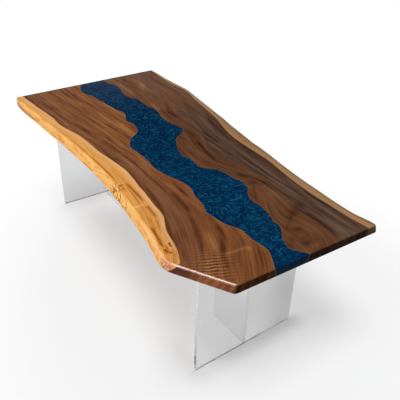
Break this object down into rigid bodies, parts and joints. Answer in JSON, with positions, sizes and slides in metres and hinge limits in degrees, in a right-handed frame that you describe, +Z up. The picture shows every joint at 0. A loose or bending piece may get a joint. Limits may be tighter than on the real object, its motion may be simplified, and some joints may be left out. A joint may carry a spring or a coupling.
{
  "type": "river table",
  "caption": "Dining table with a live-edge wood top split by a blue cast resin river, standing on clear acrylic T-shaped bases.",
  "frame": {"origin": "on the floor under the middle of the table top's outline", "axes": "+Z up; +X along the table towards the end with the sloping corner cut; -Y towards the golden live edge"},
  "size_m": [2.4, 1.1515, 0.76],
  "materials": {
    "live_edge_wood": "satin oil over brown heartwood, golden sapwood along the live edges",
    "blue_resin": "gloss, deep blue with fine pearl swirls",
    "clear_acrylic": "clear, flame-polished edges",
    "foot_strip": "matte dark strip",
    "bracket_steel": "brushed stainless",
    "fastener_steel": "bright stainless",
    "insert_brass": "machined"
  },
  "bodies": {
    "root": {"live_edge_slab_front": "live_edge_wood", "live_edge_slab_back": "live_edge_wood", "epoxy_river": "blue_resin", "near_cross_panel": "clear_acrylic", "near_stem_panel": "clear_acrylic", "far_cross_panel": "clear_acrylic", "far_stem_panel": "clear_acrylic", "near_cross_foot_strip": "foot_strip", "near_stem_foot_strip": "foot_strip", "far_cross_foot_strip": "foot_strip", "far_stem_foot_strip": "foot_strip", "near_cross_bracket_front": "bracket_steel", "near_cross_bracket_back": "bracket_steel", "near_stem_bracket_front": "bracket_steel", "near_stem_bracket_back": "bracket_steel", "far_cross_bracket_front": "bracket_steel", "far_cross_bracket_back": "bracket_steel", "far_stem_bracket_front": "bracket_steel", "far_stem_bracket_back": "bracket_steel", "near_panel_bolts": "fastener_steel", "far_panel_bolts": "fastener_steel", "near_panel_nuts": "fastener_steel", "far_panel_nuts": "fastener_steel", "near_washers": "fastener_steel", "far_washers": "fastener_steel", "near_top_screws": "fastener_steel", "far_top_screws": "fastener_steel", "near_threaded_inserts": "insert_brass", "far_threaded_inserts": "insert_brass"}
  },
  "joints": []
}
